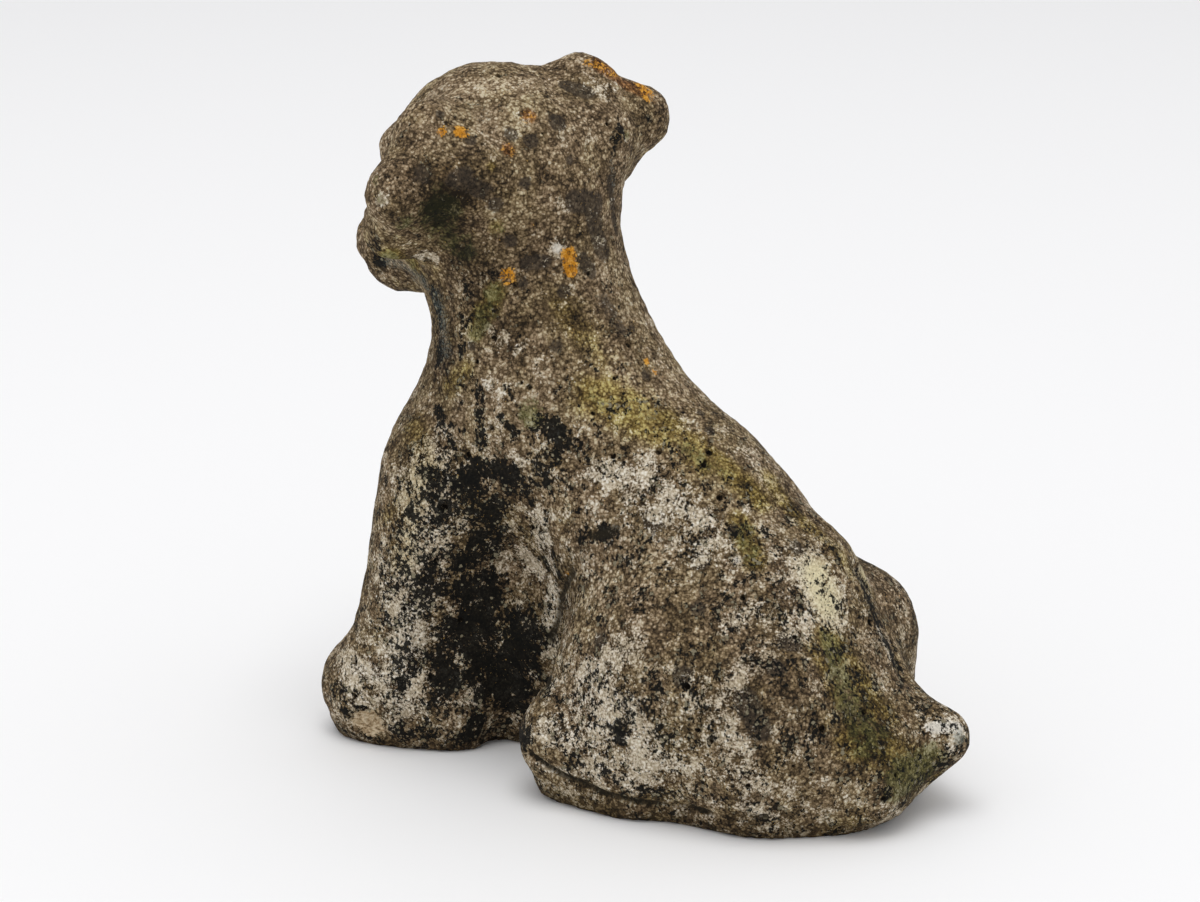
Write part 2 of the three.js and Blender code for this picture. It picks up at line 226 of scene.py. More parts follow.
# %% Pits
PITS = [
    *[(508, 358, 3), (521, 383, 4), (529, 387, 6), (462, 387, 3), (490, 428, 7), (439, 445, 4), (468, 455, 7)],
    *[(615, 378, 5), (624, 387, 4), (593, 413, 5), (515, 285, 5), (482, 273, 4), (440, 226, 5), (659, 451, 7)],
    *[(710, 452, 7), (706, 461, 5), (720, 497, 7), (743, 597, 6), (823, 729, 7), (896, 775, 5), (883, 799, 6)],
    *[(811, 775, 4), (762, 706, 3), (794, 767, 4), (648, 140, 4), (444, 508, 8), (437, 561, 7), (543, 133, 3)],
    *[(461, 620, 6), (430, 677, 5), (355, 661, 6), (578, 440, 4), (613, 456, 6), (680, 447, 4), (694, 429, 3)],
    *[(536, 365, 3), (498, 405, 3), (579, 461, 4), (668, 500, 4), (728, 727, 4), (838, 660, 4), (600, 150, 3)],
]
MORE_PITS = 90
PIT_DEPTH = 0.85  # of its width
SMALL_PITS = (0.5, 1.5)  # their least and greatest radius in mm
RINGS = (1.5 * MM, 0.6 * MM)  # how far out from a pit's edge the squares are divided, first once and then again


def refine(piece, spots, reach):
    """Squares within a reach of the spots are divided in four."""
    points = corners(piece)
    near = np.zeros(len(points), bool)
    for place, radius in spots:
        near |= np.linalg.norm(points - np.array(place), axis=1) < radius + reach
    bm = bmesh.new()
    bm.from_mesh(piece.data)
    edges = [e for e in bm.edges if near[e.verts[0].index] and near[e.verts[1].index]]
    bmesh.ops.subdivide_edges(bm, edges=edges, cuts=1, use_grid_fill=True, smooth=0.3)
    bm.to_mesh(piece.data)
    bm.free()


LOWEST_PIT = 6 * MM
shape = corners(puppy)
able = np.flatnonzero(shape[:, 2] > LOWEST_PIT)
pits = [(on_stone(x, y), across / 2 * PIXEL) for x, y, across in PITS]
pits += [
    (Vector(shape[i]), radius * MM)
    for i, radius in zip(rng.choice(able, MORE_PITS, False), rng.uniform(*SMALL_PITS, MORE_PITS))
]
for reach in RINGS:
    refine(puppy, pits, reach)
print("pits", len(pits), "skin now", len(puppy.data.vertices), "corners")

# %% [markdown]
# ## Dents, lumps and worn edges
#
# Casting and frost leave soft lumps a few millimetres wide all over, and the foot of the figure is coarse, where the
# mix met the mould's edge. Each is a push along the surface's own direction: broad ones first, then the fine ones,
# then the grooves and the pits. The flat underside stays flat.

# %% Pushing along the surface's own direction
SOLE = 0.4 * MM  # corners lower than this are on the ground
ABOVE_SOLE = 2.5 * MM  # from this height up, a push has its full size


def directions(piece):
    """The way that the surface faces at each corner."""
    flat = np.empty(len(piece.data.vertices) * 3)
    piece.data.vertices.foreach_get("normal", flat)
    return flat.reshape(-1, 3)


def push(piece, heights):
    """Each corner moves outwards by its height in mm, but the underside and what is at the ground stay."""
    points = corners(piece)
    free = easy(points[:, 2] / ABOVE_SOLE)
    moved = points + directions(piece) * (heights * free * MM)[:, None]
    moved[:, 2] = np.where(points[:, 2] < SOLE, 0, np.maximum(moved[:, 2], 0))
    piece.data.vertices.foreach_set("co", moved.ravel())
    piece.data.update()


# %% Lumps
FOOT = 13 * MM  # the height of the coarse foot
WORN_FROM, WORN_OVER = 120 * MM, 90 * MM  # rain wears the upper half most
LUMPS = [  # how far apart, how high, how much higher where worn, and how much higher at the foot, in mm
    (26, 0.55, 0, 0),
    (11, 0.38, 0, 0),
    (5, 0.26, 0.16, 0.5),
    (2.6, 0.2, 0.14, 0.4),
]
points = corners(puppy)
foot = easy(1 - points[:, 2] / FOOT)
worn = easy((points[:, 2] - WORN_FROM) / WORN_OVER)
heights = np.zeros(len(points))
for seed, (apart, high, by_wear, at_foot) in enumerate(LUMPS, 1):
    heights += (high + by_wear * worn + at_foot * foot) * lumps(points, apart * MM, seed)
push(puppy, heights)
print("lumps from", round(heights.min(), 2), "to", round(heights.max(), 2), "mm")

# %% [markdown]
# ## Folds and grooves
#
# Some lines of the casting are narrower than the fixed form shows: the fold in front of the thigh, the edge of the
# ear, the rough band along the foot of the haunch. On the hidden face they are the lids, the nostrils and the line
# of the mouth. A groove is pushed in along strokes that follow the surface.

# %% Head place, for the lines on the face
UNIT = 2.92 * MM
HEAD = Matrix.Translation(Vector((0, -16.9, 83.9)) * UNIT) @ Euler(np.radians((0, 9, -25))).to_matrix().to_4x4()


def on_head(x, y, z):
    """A place on the head's surface, from hundredths of the puppy's height about the middle of its skull."""
    return form.find_nearest(HEAD @ (Vector((x, y, z)) * UNIT))[0]


def line(*points):
    """The strokes that join points one after the other."""
    return list(zip(points[:-1], points[1:]))


def seen(*spots):
    """A line through places of the picture."""
    return line(*[on_stone(x, y) for x, y in spots])


def both_sides(*points):
    """A line on the left of the head, and the same on its right."""
    right = [(-x, y, z) for x, y, z in points]
    return line(*[on_head(*p) for p in points]) + line(*[on_head(*p) for p in right])


# %% Grooves
NARROW = 2.5  # grooves narrower than this, in mm, get painted shade
GROOVES = [  # strokes, width in mm, depth in mm
    (seen((572, 573), (560, 598), (551, 640), (548, 682), (536, 694)), 2.2, 1.1),
    (seen((406, 232), (428, 211), (452, 197), (478, 192)), 3.5, 1.0),
    (seen((452, 203), (444, 214), (436, 226)), 4.5, 1.6),
    (seen((362, 228), (372, 224), (384, 228)), 2.5, 0.9),
    (seen((552, 66), (549, 78), (556, 96)), 3.5, 0.8),
    (seen((516, 745), (530, 755), (560, 775), (600, 792), (640, 803), (700, 811), (765, 818)), 1.7, 1.8),
    (seen((590, 536), (606, 534), (616, 527)), 2.0, 1.2),
    (seen((856, 566), (876, 598), (892, 636), (904, 676)), 4.0, 2.6),
    (both_sides((4, -15.4, 0.4), (5.2, -15.8, 2), (7.4, -15.2, 2.4), (9.2, -13.6, 1)), 1.5, 1.5),
    (both_sides((4.4, -15.4, -1), (6.4, -15.2, -2), (8.4, -14, -1.4)), 1.4, 1.2),
    (both_sides((1.6, -26, -8.8), (2.4, -25.6, -8.4)), 1.7, 1.7),
    (
        both_sides((0.01, -25, -11.4), (0.01, -24, -15.2), (5.6, -22, -16.2), (9.4, -18.5, -15.6), (12, -14.5, -14)),
        1.4,
        1.2,
    ),
]
points = corners(puppy)
heights = np.zeros(len(points))
shade_in_creases = np.zeros(len(points))
for strokes, width, depth in GROOVES:
    away = np.min([to_stroke(points, *stroke) for stroke in strokes], axis=0)
    near = np.exp(-((away / (width * MM)) ** 2))
    heights -= depth * near
    # the narrow grooves are kept as a mask for painted shade
    shade_in_creases = np.maximum(shade_in_creases, near * (width < NARROW))
push(puppy, heights)
print("grooves", len(GROOVES), "deepest", round(-heights.min(), 2), "mm")

# %% [markdown]
# ## The broken paw
#
# A flake has come off the outer edge of the near front paw, and shows the clean cream mix inside. It is made as it
# broke: the corners outside a plane near the edge are moved back to it.

# %% Chip
CHIP = on_stone(366, 724)
CHIP_RADIUS = 14 * MM
CHIP_DEPTH = 2.1 * MM
CHIP_TILT = (1, 1, 0.3)  # the broken face looks more sideways than the paw does
CHIP_SHAPE = (1, 1, 1.25)  # and is a little wider than high
BREAK_ROUGHNESS, RIM_RAGGEDNESS = 0.35 * MM, 2.4 * MM
points = corners(puppy)
nearest = int(np.argmin(np.linalg.norm(points - np.array(CHIP), axis=1)))
outward = directions(puppy)[nearest] * CHIP_TILT
outward /= np.linalg.norm(outward)
above = (points - np.array(CHIP)) @ outward + CHIP_DEPTH + BREAK_ROUGHNESS * lumps(points, 3 * MM, 11)
away = np.linalg.norm((points - np.array(CHIP)) * CHIP_SHAPE, axis=1) + RIM_RAGGEDNESS * lumps(points, 6 * MM, 12)
fresh = easy((CHIP_RADIUS - away) / (12 * MM)) * (above > -0.3 * MM)
points -= outward * (np.maximum(above, 0) * easy((CHIP_RADIUS - 3 * MM - away) / (2.5 * MM)))[:, None]
points[:, 2] = np.maximum(points[:, 2], 0)
puppy.data.vertices.foreach_set("co", points.ravel())
puppy.data.update()
print("chip corners", int((fresh > 0.5).sum()))

# %% Pits pressed in
points = corners(puppy)
heights = np.zeros(len(points))
pit_shade = np.zeros(len(points))  # 1 inside a pit, where the material paints shade
for place, radius in pits:
    place = form.find_nearest(place)[0]
    away = np.linalg.norm(points - np.array(place), axis=1) / radius
    inside = easy(1.35 - away)
    heights = np.minimum(heights, -PIT_DEPTH * 2 * radius / MM * inside)
    pit_shade = np.maximum(pit_shade, easy((1.3 - away) / 0.8))
push(puppy, heights)
print("deepest pit", round(-heights.min(), 2), "mm")

# %% [markdown]
# ## Where each growth is
#
# Each kind of growth has its own number at every corner of the skin, from 0 where there is none to 1 where it covers
# the stone. The material breaks the edges up later. Growths also follow the form, as they do outdoors: film and pale
# crust are thicker low down, green algae like the shelter of hollows, and bare sand shows on top. Each list below is
# one kind of growth, as marks in the picture's pixels: one or two places, then a radius, then a strength.

# %% Black film, partly painted shade in hollows
FILM_AND_SHADE = [
    # the first eight marks black out the recess between the front leg and the haunch and the foot between the paws:
    # partly black film, partly painted shade
    (476, 590, 487, 674, 32, 0.86),
    (520, 630, 511, 691, 28, 0.92),
    (452, 629, 444, 690, 24, 0.76),
    (470, 560, 24, 0.72),
    (474, 728, 524, 733, 17, 0.76),
    (430, 725, 455, 735, 12, 0.62),
    (440, 480, 425, 590, 42, 0.6),
    (400, 735, 500, 742, 9, 0.66),
    (436, 296, 440, 362, 12, 0.6),
    (470, 290, 462, 350, 14, 0.46),
    (470, 480, 490, 540, 26, 0.72),
    (395, 620, 400, 690, 22, 0.5),
    (500, 470, 525, 500, 18, 0.58),
    (556, 560, 548, 625, 13, 0.52),
    (340, 690, 352, 712, 13, 0.56),
    (600, 690, 660, 740, 36, 0.47),
    (560, 715, 10, 0.5),
    (640, 600, 24, 0.42),
    (800, 735, 30, 0.42),
    (775, 660, 28, 0.46),
    (690, 545, 26, 0.46),
    (560, 480, 16, 0.56),
    (600, 770, 680, 800, 12, 0.5),
    (392, 728, 7, 0.75),
    (499, 504, 474, 554, 15, 0.78),
    (479, 467, 511, 474, 14, 0.9),
    (449, 484, 449, 514, 16, 0.6),
    (412, 500, 400, 545, 15, 0.5),
    (387, 566, 385, 616, 12, 0.52),
    (412, 554, 425, 600, 14, 0.6),
    (478, 392, 482, 448, 8, 0.7),
    (437, 410, 453, 446, 7, 0.66),
    (449, 425, 462, 430, 5, 0.66),
    (507, 388, 511, 397, 5, 0.66),
    (501, 417, 516, 435, 5, 0.7),
    (594, 422, 596, 437, 5, 0.7),
    (540, 428, 564, 440, 17, 0.72),
    (550, 455, 544, 476, 16, 0.72),
    # the hollow between the loin and the thigh: painted shade
    (606, 534, 14, 0.75),
    (581, 539, 10, 0.55),
    (621, 733, 16, 0.72),
    (591, 693, 10, 0.42),
    (648, 745, 12, 0.5),
    (701, 710, 690, 680, 12, 0.5),
    (746, 719, 9, 0.5),
    (722, 575, 10, 0.48),
    (730, 530, 770, 530, 9, 0.5),
    (660, 570, 8, 0.5),
    (376, 248, 378, 263, 9, 0.7),
    # these two marks darken the hollow under the near ear: painted shade
    (443, 212, 12, 0.5),
    (416, 236, 6, 0.55),
    (494, 277, 8, 0.6),
    # the underside of the far ear: painted shadow
    (619, 127, 617, 147, 9, 0.6),
    (650, 118, 6, 0.5),
    (438, 319, 438, 364, 8, 0.5),
    (478, 285, 10, 0.42),
    (335, 690, 345, 715, 9, 0.5),
    # the dark line along the crease of the rump: partly film, partly painted shade
    (858, 572, 900, 672, 7, 0.62),
    # the recess in front of the haunch: partly film, partly painted shade
    (540, 640, 552, 690, 12, 0.6),
]
print("marks of black film", len(FILM_AND_SHADE))

# %% Pale crust
PALE = [
    (591, 472, 650, 479, 15, 0.66),
    (665, 494, 704, 524, 14, 0.66),
    (746, 506, 9, 0.7),
    (794, 521, 9, 0.6),
    (812, 572, 830, 606, 25, 0.84),
    (806, 622, 12, 0.7),
    (737, 560, 7, 0.85),
    (752, 608, 728, 629, 16, 0.58),
    (731, 686, 755, 665, 17, 0.66),
    (818, 692, 845, 665, 13, 0.5),
    (854, 629, 8, 0.55),
    (878, 626, 890, 659, 4, 0.85),
    (524, 554, 539, 574, 14, 0.6),
    (506, 529, 10, 0.6),
    (519, 604, 544, 649, 8, 0.55),
    (586, 678, 631, 645, 20, 0.66),
    (549, 728, 574, 741, 18, 0.66),
    (578, 705, 635, 704, 18, 0.62),
    (590, 764, 650, 764, 15, 0.62),
    (746, 806, 770, 815, 12, 0.6),
    (716, 800, 10, 0.5),
    (350, 666, 387, 678, 18, 0.7),
    (394, 641, 382, 701, 13, 0.62),
    (424, 703, 10, 0.42),
    (462, 524, 9, 0.66),
    (375, 574, 404, 604, 8, 0.5),
    (437, 484, 9, 0.6),
    (459, 442, 8, 0.55),
    (519, 460, 8, 0.66),
    (958, 728, 930, 728, 9, 1.0),
    (952, 748, 10, 0.72),
    (920, 701, 6, 0.5),
    (380, 203, 6, 0.5),
    (481, 143, 9, 0.38),
    (485, 254, 6, 0.5),
    (606, 91, 16, 0.46),
    (626, 138, 8, 0.5),
    (434, 259, 10, 0.46),
    (472, 323, 512, 337, 11, 0.46),
    (557, 248, 10, 0.86),
    (381, 200, 8, 0.66),
    (423, 256, 13, 0.62),
    (472, 323, 12, 0.5),
    (511, 344, 16, 0.5),
    (545, 262, 3, 0.8),
    (444, 124, 3, 0.85),
    (485, 385, 500, 400, 12, 0.42),
    (430, 470, 400, 600, 40, 0.6),
    (410, 610, 400, 700, 30, 0.7),
    (345, 665, 360, 700, 22, 0.64),
    (540, 520, 550, 650, 18, 0.62),
    (600, 700, 640, 760, 46, 0.6),
    (700, 700, 740, 770, 34, 0.5),
    (640, 480, 700, 540, 34, 0.52),
    (780, 560, 800, 640, 26, 0.46),
    (470, 700, 500, 740, 22, 0.5),
]
print("marks of pale crust", len(PALE))

# %% Where the pale crust is thin
THIN = [
    (610, 600, 690, 620, 34, 0.16),
    (720, 650, 30, 0.12),
    (800, 700, 860, 740, 44, 0.2),
    (880, 600, 905, 670, 26, 0.2),
    (870, 705, 920, 715, 18, 0.12),
    (700, 460, 770, 520, 18, 0.12),
    (640, 380, 34, 0.12),
]
print("marks of thin crust", len(THIN))

# %% Green algae
GREEN = [
    (598, 395, 665, 428, 28, 0.8),
    (704, 458, 24, 0.75),
    (740, 524, 755, 560, 15, 0.8),
    (815, 650, 836, 695, 15, 0.65),
    (854, 740, 920, 770, 26, 0.75),
    (935, 779, 12, 0.9),
    (387, 519, 412, 487, 13, 0.55),
    (449, 387, 465, 370, 14, 0.6),
    (392, 256, 412, 266, 16, 0.85),
    (492, 167, 7, 0.7),
    (496, 292, 474, 330, 13, 0.85),
    (626, 134, 8, 0.6),
    (496, 227, 10, 0.6),
    (440, 300, 450, 340, 10, 0.5),
    (816, 574, 828, 604, 27, 0.72),
    (690, 440, 760, 500, 18, 0.75),
    (780, 500, 850, 570, 14, 0.7),
    (830, 640, 880, 710, 26, 0.72),
    (415, 425, 430, 470, 20, 0.62),
    (560, 300, 600, 360, 18, 0.55),
    (420, 470, 400, 560, 24, 0.6),
    (770, 480, 800, 520, 16, 0.7),
]
print("marks of green algae", len(GREEN))

# %% Lichen rosettes, rust and bloom
ORANGE = [
    (461, 132, 8, 0.74),
    (442, 132, 5, 0.7),
    (568, 254, 571, 270, 8, 0.84),
    (507, 276, 9, 0.64),
    (647, 361, 4, 0.7),
    (655, 372, 4, 0.66),
    (640, 84, 648, 96, 10, 0.5),
    (590, 64, 612, 72, 8, 0.42),
    (566, 574, 4, 0.66),
    (528, 118, 8, 0.36),
    (508, 150, 8, 0.33),
]
RUST = [
    (600, 66, 640, 90, 12, 1.1),
    (529, 116, 9, 1.1),
    (508, 150, 9, 1.0),
    (532, 224, 7, 0.6),
    (410, 175, 460, 172, 14, 0.5),
    (905, 719, 12, 0.6),
    (770, 590, 12, 0.5),
    (565, 576, 6, 0.7),
]
BLOTCH = [
    (567, 86, 586, 92, 9, 1.0),
    (557, 122, 10, 1.0),
    (511, 134, 7, 1.0),
    (531, 141, 8, 1.0),
    (570, 160, 5, 0.9),
    (465, 174, 9, 0.8),
    (422, 174, 13, 0.6),
    (440, 114, 5, 0.9),
    (471, 140, 7, 0.8),
    (525, 183, 7, 0.8),
    (574, 201, 597, 204, 12, 0.9),
    (592, 215, 604, 250, 13, 0.66),
    (455, 180, 485, 190, 12, 0.6),
    (604, 300, 620, 330, 9, 0.6),
    (470, 250, 9, 0.6),
    (583, 259, 592, 272, 7, 0.95),
    (563, 292, 8, 0.8),
    (496, 205, 9, 0.8),
    (527, 263, 545, 261, 8, 0.8),
    (510, 241, 8, 0.8),
    (523, 283, 6, 0.8),
    (556, 346, 8, 0.7),
    (646, 375, 6, 0.8),
    (632, 328, 5, 0.8),
    (472, 346, 7, 0.7),
    (710, 431, 6, 1.0),
    (701, 413, 5, 0.9),
    (797, 548, 8, 0.9),
    (734, 530, 8, 0.8),
    (683, 677, 12, 0.9),
    (776, 668, 10, 0.9),
    (698, 608, 9, 0.7),
    (600, 640, 11, 0.7),
    (790, 640, 14, 0.8),
    (745, 700, 760, 730, 14, 0.75),
    (700, 560, 12, 0.7),
    (655, 520, 16, 0.7),
    (616, 230, 610, 180, 6, 0.7),
]
BLOOM = [
    (390, 262, 425, 284, 14, 0.7),
    (414, 281, 7, 0.8),
    (438, 298, 446, 350, 15, 0.66),
    (958, 738, 9, 1.0),
    (612, 160, 614, 190, 6, 0.6),
]
print("rosettes", len(ORANGE), "rust", len(RUST), "blotches", len(BLOTCH), "bloom", len(BLOOM))

# %% Moss, in hollows partly painted shade
MOSS_AND_SHADE = [
    (531, 415, 15, 0.86),
    # the marks at 440,210, 465,240 and 405,225 and the stroke from 430,222 lie in the hollow under the near ear:
    # partly moss, partly painted shade
    (440, 210, 24, 0.82),
    (465, 240, 14, 0.6),
    (405, 225, 16, 0.6),
    (390, 256, 410, 266, 13, 0.6),
    (430, 222, 462, 250, 20, 0.62),
    (495, 292, 478, 330, 14, 0.62),
    (500, 230, 12, 0.5),
    (745, 530, 752, 560, 13, 0.6),
    (830, 640, 845, 700, 18, 0.64),
    (850, 700, 870, 745, 22, 0.62),
    (900, 780, 930, 765, 24, 0.74),
    (880, 730, 14, 0.6),
    (690, 450, 720, 470, 16, 0.5),
    (626, 134, 8, 0.6),
    (380, 200, 376, 180, 7, 0.55),
    (600, 400, 20, 0.42),
]
print("marks of moss", len(MOSS_AND_SHADE))

# %% Broad lighter and darker parts of the bare stone, some of them painted shade
TONE_AND_SHADE = [
    (480, 85, 530, 80, 44, 0.06),
    (610, 95, 22, 0.08),
    # the hollow under the near ear: painted shade
    (440, 215, 27, -0.2),
    (470, 185, 26, -0.1),
    (590, 210, 600, 235, 18, -0.1),
    (585, 262, 12, -0.08),
    # the far haunch towards the crease: partly its own dark brown, partly painted shade
    (880, 620, 24, -0.07),
    (600, 320, 640, 360, 20, -0.04),
    (500, 110, 30, 0.04),
    (690, 620, 26, -0.07),
    (770, 650, 28, -0.08),
    (800, 690, 880, 720, 32, -0.06),
    (800, 500, 846, 560, 16, -0.08),
    (400, 175, 470, 175, 20, -0.07),
    (545, 200, 560, 290, 34, -0.05),
    (480, 270, 500, 330, 22, -0.07),
    (425, 262, 13, 0.08),
    (437, 290, 440, 370, 17, -0.12),
    (455, 250, 470, 280, 18, -0.1),
    # the hollow under the near ear: painted shade
    (430, 200, 470, 245, 26, -0.08),
    (395, 270, 425, 280, 12, -0.08),
    (820, 588, 22, 0.2),
    (940, 735, 18, 0.1),
    (610, 170, 618, 220, 9, -0.08),
    (500, 400, 620, 400, 44, 0.08),
    (640, 420, 720, 470, 26, 0.04),
    (570, 660, 680, 760, 46, 0.06),
    (620, 500, 680, 520, 34, 0.05),
    # towards the crease of the rump: partly its own brown, partly painted shade
    (880, 590, 905, 660, 22, -0.04),
    (870, 730, 930, 770, 34, -0.1),
    (650, 640, 30, -0.05),
    (350, 680, 385, 660, 24, 0.06),
    (545, 520, 550, 600, 16, 0.07),
]
print("broad marks", len(TONE_AND_SHADE))

# %% [markdown]
# Dirt and algae gather where rain and sun don't reach, and the same number paints shade into the hollows. How
# sheltered a corner is comes from rays sent out from it: the share that the puppy itself stops within a few
# centimetres.

# %% Shelter
SHELTER_REACH = 45 * MM
fan = [Vector(way).normalized() for way in [(1, 0, 0.4), (-1, 0, 0.4), (0, 1, 0.4), (0, -1, 0.4), (0.5, 0.5, 1)]]
fan += [Vector(way).normalized() for way in [(-0.5, 0.5, 1), (0.5, -0.5, 1), (-0.5, -0.5, 1)]]


def sheltered(places, ways):
    """For each place and the way it faces, the share of rays that the puppy stops."""
    share = np.zeros(len(places))
    for i, (place, way) in enumerate(zip(places, ways)):
        start, up = Vector(place), Vector(way)
        sent = [(up + side).normalized() for side in fan]
        start += up * 1.5 * MM
        share[i] = sum(form.ray_cast(start, out, SHELTER_REACH)[0] is not None for out in sent) / len(sent)
    return share


points = corners(puppy)
facing = directions(puppy)
shelter_and_shade = sheltered(points, facing)
print("sheltered corners", int((shelter_and_shade > 0.4).sum()))

# %% The numbers at every corner
low = easy(1 - (points[:, 2] - 60 * MM) / (130 * MM))
top = easy((points[:, 2] - 150 * MM) / (90 * MM))
broad = lumps(points, 34 * MM, 21)
lesser = lumps(points, 15 * MM, 22)
below = np.maximum(-facing[:, 2], 0)  # how much a corner faces the ground


def cover_of(rows, ground, soft=0.8):
    """How much of a growth each corner has: the ground value, raised towards each mark's strength near the mark."""
    amount = ground.copy()
    for start, end, radius, strength in marks_of(rows):
        near = to_stroke(points, start, end) / radius
        amount = np.maximum(amount, strength * easy((1 + soft - near) / (2 * soft)))
    return amount


def put(name, values):
    """The numbers become an attribute that the material reads by name."""
    layer = puppy.data.attributes.new(name, "FLOAT", "POINT")
    layer.data.foreach_set("value", values.astype(np.float32))
    print(name, "mean", round(float(values.mean()), 3))


def sum_of(rows):
    """Soft marks added up, for what is lighter, darker or thinner in one part than in another."""
    amount = np.zeros(len(points))
    for start, end, radius, strength in marks_of(rows):
        amount += strength * easy((2 - to_stroke(points, start, end) / radius) / 2)
    return amount


# bare stone is painted darker where it is sheltered, as shade in the hollows
put("tone", sum_of(TONE_AND_SHADE) + 0.05 * broad - 0.12 * shelter_and_shade)
# film and moss are also thicker in sheltered hollows, which darkens them partly as painted shade
put("film_and_shade", cover_of(FILM_AND_SHADE, 0.2 + 0.12 * low + 0.1 * broad - 0.12 * top + 0.2 * shelter_and_shade))
put("pale", cover_of(PALE, 0.16 + 0.14 * low + 0.08 * lesser - 0.06 * top) - sum_of(THIN))
put("green", cover_of(GREEN, 0.25 + 0.2 * lumps(points, 28 * MM, 23) + 0.25 * below))
put("moss_and_shade", cover_of(MOSS_AND_SHADE, 0.14 + 0.14 * lumps(points, 20 * MM, 26) + 0.2 * shelter_and_shade))
put("orange", cover_of(ORANGE, np.zeros(len(points)), 0.35))
put("rust", cover_of(RUST, 0.15 + 0.25 * lumps(points, 22 * MM, 24)))
put("blotch", cover_of(BLOTCH, 0.2 + 0.25 * lumps(points, 12 * MM, 25), 0.45))
put("bloom", cover_of(BLOOM, 0.25 * below))
put("foot", easy(1 - points[:, 2] / (12 * MM)))
put("fresh", fresh)
put("pit_shade", pit_shade)
put("shade_in_creases", shade_in_creases)

# %% [markdown]
# ## The material
#
# It is built as the real surface is, from below: sand grains in cement, then stains, then the growths, each over the
# last. Each growth's number is added to a fine random pattern, and where the sum passes a half the growth is there.
# That gives broken edges, islands and gaps at the size of the grain, as on real lichen.


# %% Node helpers
class Graph:
    """A material's nodes, made one after another. Sockets or plain numbers go in and a socket comes out."""

    def __init__(self, name):
        self.material = bpy.data.materials.new(name)
        self.material.use_nodes = True
        self.tree = self.material.node_tree
        self.tree.nodes.clear()

    def node(self, kind, inputs=(), **settings):
        made = self.tree.nodes.new("ShaderNode" + kind)
        for key, value in settings.items():
            setattr(made, key, value)
        for key, value in dict(inputs).items():
            if isinstance(value, bpy.types.NodeSocket):
                self.tree.links.new(value, made.inputs[key])
            else:
                made.inputs[key].default_value = value
        return made

    def math(self, operation, a, b=0.0, c=0.0):
        return self.node("Math", {0: a, 1: b, 2: c}, operation=operation).outputs[0]

    def amount(self, name):
        return self.node("Attribute", attribute_name=name).outputs["Fac"]

    def mix(self, share, under, over, blend="MIX"):
        return self.node("Mix", {0: share, 6: under, 7: over}, data_type="RGBA", blend_type=blend).outputs[2]

    def noise(self, where, size, detail=3.0, rough=0.6):
        inputs = {"Vector": where, "Scale": 1 / size, "Detail": detail, "Roughness": rough}
        return self.node("TexNoise", inputs).outputs["Fac"]

    def step(self, value, start, end, low=0.0, high=1.0):
        inputs = {0: value, 1: start, 2: end, 3: low, 4: high}
        return self.node("MapRange", inputs, interpolation_type="SMOOTHSTEP").outputs[0]

    def ramp(self, value, *stops):
        made = self.node("ValToRGB", {0: value})
        band = made.color_ramp
        while len(band.elements) < len(stops):
            band.elements.new(0.5)
        for element, (place, colour) in zip(band.elements, stops):
            element.position = place
            element.color = colour
        return made.outputs[0]


def paint(red, green, blue):
    """A colour as a paint chart gives it, from 0 to 255, for the shader."""
    s = np.array((red, green, blue)) / 255
    return (*np.where(s < 0.04045, s / 12.92, ((s + 0.055) / 1.055) ** 2.4), 1.0)


# %% [markdown]
# ## Sand in cement
#
# Where the cement skin has worn off, each grain of sand shows, light or dark, with a darker rim of cement. Painted
# pictures of sand would repeat or stretch, so the grains are Voronoi cells of the size of real sand, and noises of
# several sizes cloud them. The pattern is solid, through the stone, so it has no seams. The sum picks a colour from a
# ramp, from damp cement to pale quartz.

# %% The grain and its colours
g = Graph("weathered_stone")
place = g.node("VectorMath", {0: g.node("TexCoord").outputs["Object"], "Scale": 1000.0}, operation="SCALE").outputs[0]


def cells(size):
    """Grains of about that size in mm: each one's own tone from 0 to 1, and the way from its middle to its edge."""
    made = g.node("TexVoronoi", {"Vector": place, "Scale": 1 / size, "Randomness": 1.0})
    return g.node("SeparateColor", {0: made.outputs["Color"]}).outputs[0], made.outputs["Distance"]


def swing(value, middle, by):
    """A pattern's swing about its middle, made larger or smaller."""
    return g.math("MULTIPLY_ADD", value, by, -middle * by)


def total(*parts):
    """The sum of patterns and numbers."""
    whole = parts[0]
    for part in parts[1:]:
        whole = g.math("ADD", whole, part)
    return whole


sand, sand_edge = cells(1.25)
grit = cells(2.1)[0]
fine = g.noise(place, 0.9, 4.0, 0.75)
middle = g.noise(place, 5.5, 5.0, 0.65)
wide = g.noise(place, 24, 3.0, 0.55)
patch = g.noise(place, 11, 3.0, 0.5)
film_place = g.node("Mapping", {0: place, "Scale": (1.0, 1.0, 0.85), "Location": (37, 11, 5)}).outputs[0]
grain = total(swing(sand, 0.5, 0.36), swing(grit, 0.5, 0.18), swing(fine, 0.5, 1.05), swing(sand_edge, 0.4, -0.4))
tone = total(0.58, grain, swing(middle, 0.5, 0.75), swing(patch, 0.5, 0.4), swing(wide, 0.5, 0.3), g.amount("tone"))
colour = g.ramp(
    tone,
    (0.14, paint(34, 27, 18)),
    (0.38, paint(81, 66, 47)),
    (0.54, paint(117, 98, 74)),
    (0.7, paint(159, 138, 109)),
    (0.92, paint(212, 198, 172)),
)

print("nodes for the grain", len(g.tree.nodes))

# %% [markdown]
# ## Stains
#
# Algae, rust and old growths colour the sand without hiding it, so a stain multiplies or overlays the stone's own
# colour, while a growth covers it. The dark blotches are dead crusts, and nearly cover it.

